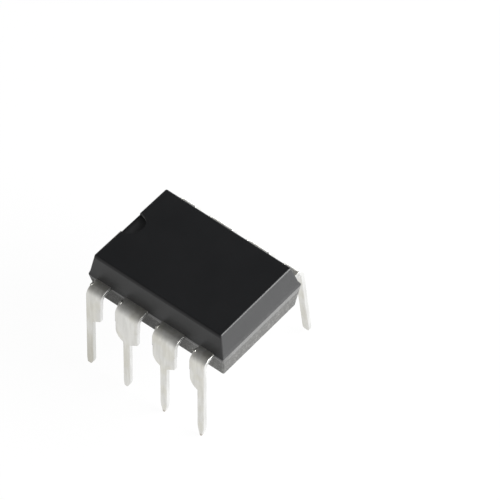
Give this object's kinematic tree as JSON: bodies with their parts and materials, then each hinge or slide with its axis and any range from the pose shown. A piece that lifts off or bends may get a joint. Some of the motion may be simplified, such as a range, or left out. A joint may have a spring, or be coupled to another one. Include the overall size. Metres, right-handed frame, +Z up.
{
  "type": "dual in-line integrated circuit",
  "caption": "Through-hole integrated circuit in a black moulded dual in-line body with two rows of splayed, shouldered leads and a notched end.",
  "frame": {"origin": "centre of the part's plan, at the level of the lead tips", "axes": "+X along the body away from the notch, +Y across it towards leads 5 to 8, +Z up from the lead tips to the top face"},
  "size_m": [0.0092, 0.009, 0.0073],
  "materials": {
    "mould_resin": "fine matt mould texture",
    "tinned_lead": "satin tin plating on copper alloy",
    "adhesive": "cured silver-filled epoxy",
    "silicon": "polished",
    "gold_wire": "drawn gold wire"
  },
  "bodies": {
    "root": {"package_body": "mould_resin", "lead_1": "tinned_lead", "lead_2": "tinned_lead", "lead_3": "tinned_lead", "lead_4": "tinned_lead", "lead_5": "tinned_lead", "lead_6": "tinned_lead", "lead_7": "tinned_lead", "lead_8": "tinned_lead", "die_attach": "adhesive", "silicon_die": "silicon", "bond_wire_1": "gold_wire", "bond_wire_2": "gold_wire", "bond_wire_3": "gold_wire", "bond_wire_4": "gold_wire", "bond_wire_5": "gold_wire", "bond_wire_6": "gold_wire", "bond_wire_7": "gold_wire", "bond_wire_8": "gold_wire"}
  },
  "joints": []
}
